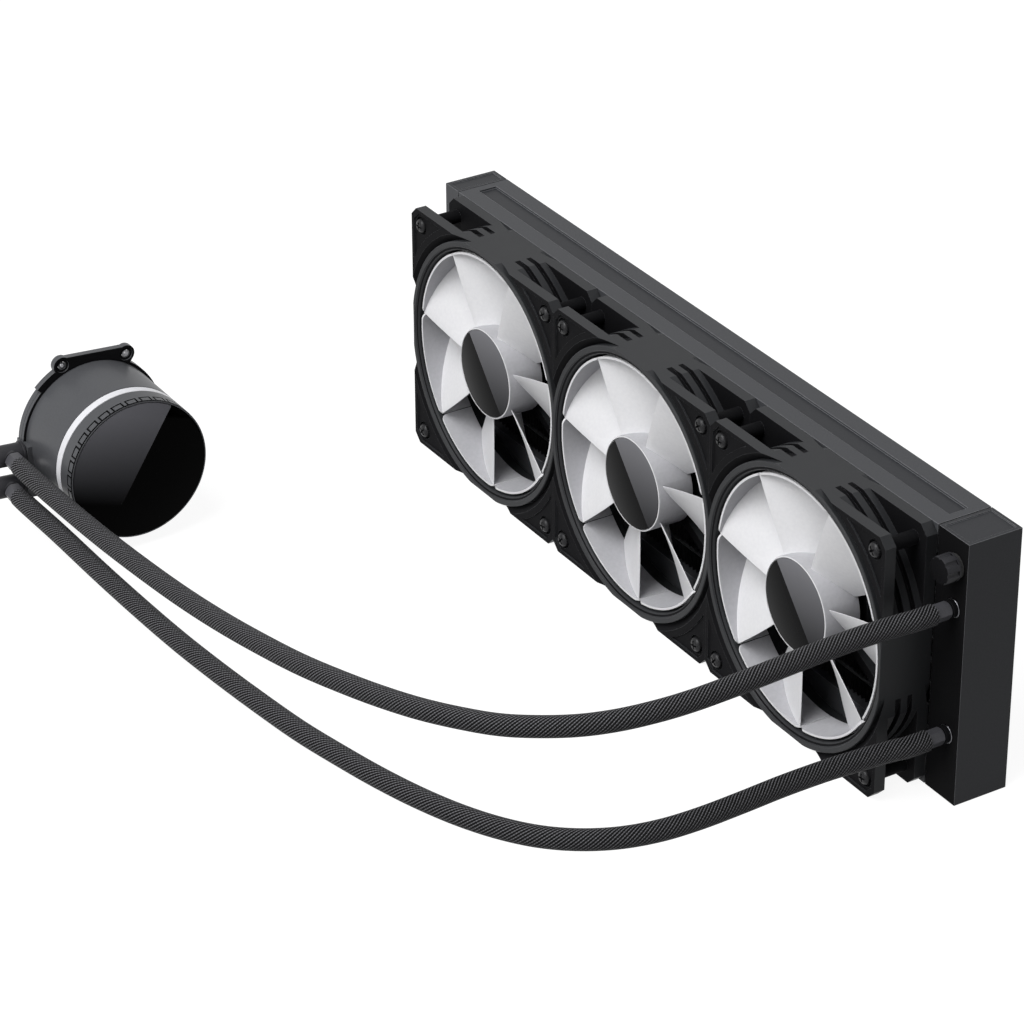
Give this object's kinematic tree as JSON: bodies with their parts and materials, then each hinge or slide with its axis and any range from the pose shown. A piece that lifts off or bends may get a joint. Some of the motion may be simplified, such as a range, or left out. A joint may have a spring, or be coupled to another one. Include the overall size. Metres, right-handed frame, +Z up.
{
  "type": "liquid cooler",
  "caption": "Closed-loop liquid cooler for a computer processor: a long radiator with a row of axial fans, a round pump head and two sleeved hoses.",
  "frame": {"origin": "on the floor, under the middle of the bounding box of the rigid pieces", "axes": "+X along the radiator towards its ports, +Y the way the fans blow, from the fans into the radiator, +Z up"},
  "size_m": [0.4102, 0.255, 0.12],
  "materials": {
    "radiator_paint": "satin dark grey paint",
    "aluminium_dark": "dark coated, dull",
    "bright_metal": "bright turned",
    "grey_plastic": "satin",
    "frame_plastic": "fine matte",
    "frosted_plastic": "frosted translucent",
    "gloss_black": "high gloss",
    "magnet": "dull sintered",
    "bronze": "sintered",
    "copper_wire": "enamelled winding",
    "copper": "machined",
    "board_green": "satin solder mask",
    "rubber": "matte",
    "pump_shell": "satin",
    "light_white": "translucent diffuser",
    "hose_sleeve": "braided sleeve"
  },
  "bodies": {
    "cooler": {"tank_left": "radiator_paint", "tank_right": "radiator_paint", "channel_top": "radiator_paint", "channel_bottom": "radiator_paint", "header_left": "aluminium_dark", "header_right": "aluminium_dark", "radiator_core": "aluminium_dark", "barb_upper": "bright_metal", "barb_lower": "bright_metal", "radiator_sleeve_upper": "grey_plastic", "radiator_sleeve_lower": "grey_plastic", "filler_cap": "grey_plastic", "filler_seal": "rubber", "fan1_frame": "frame_plastic", "fan1_bearing": "bronze", "fan1_stator": "copper_wire", "fan1_board": "board_green", "fan2_frame": "frame_plastic", "fan2_bearing": "bronze", "fan2_stator": "copper_wire", "fan2_board": "board_green", "fan3_frame": "frame_plastic", "fan3_bearing": "bronze", "fan3_stator": "copper_wire", "fan3_board": "board_green", "pump_housing": "pump_shell", "pump_collar": "pump_shell", "pump_light_ring": "light_white", "pump_face": "gloss_black", "pump_bracket": "frame_plastic", "pump_cold_plate": "copper", "pump_seal": "rubber", "pump_jet_plate": "frame_plastic", "pump_impeller_pin": "bright_metal", "pump_stator": "copper_wire", "pump_board": "board_green", "elbow_upper": "grey_plastic", "elbow_lower": "grey_plastic", "pump_sleeve_upper": "grey_plastic", "pump_sleeve_lower": "grey_plastic", "hose_upper": "hose_sleeve", "hose_lower": "hose_sleeve"},
    "fan1_turning": {"fan1_rotor": "frosted_plastic", "fan1_hub_cap": "gloss_black", "fan1_magnet": "magnet", "fan1_shaft": "bright_metal"},
    "fan2_turning": {"fan2_rotor": "frosted_plastic", "fan2_hub_cap": "gloss_black", "fan2_magnet": "magnet", "fan2_shaft": "bright_metal"},
    "fan3_turning": {"fan3_rotor": "frosted_plastic", "fan3_hub_cap": "gloss_black", "fan3_magnet": "magnet", "fan3_shaft": "bright_metal"},
    "impeller": {"pump_impeller": "magnet"}
  },
  "joints": [
    {"name": "fan1_spin", "type": "hinge", "parent": "cooler", "child": "fan1_turning", "pos_m": [-0.1144, 0.0862, 0.06], "axis": [0, -1, 0], "continuous": true},
    {"name": "fan2_spin", "type": "hinge", "parent": "cooler", "child": "fan2_turning", "pos_m": [0.0056, 0.0862, 0.06], "axis": [0, -1, 0], "continuous": true},
    {"name": "fan3_spin", "type": "hinge", "parent": "cooler", "child": "fan3_turning", "pos_m": [0.1256, 0.0862, 0.06], "axis": [0, -1, 0], "continuous": true},
    {"name": "impeller_spin", "type": "hinge", "parent": "cooler", "child": "impeller", "pos_m": [-0.1866, -0.07712, 0.03903], "axis": [1, 0, 0], "continuous": true}
  ]
}
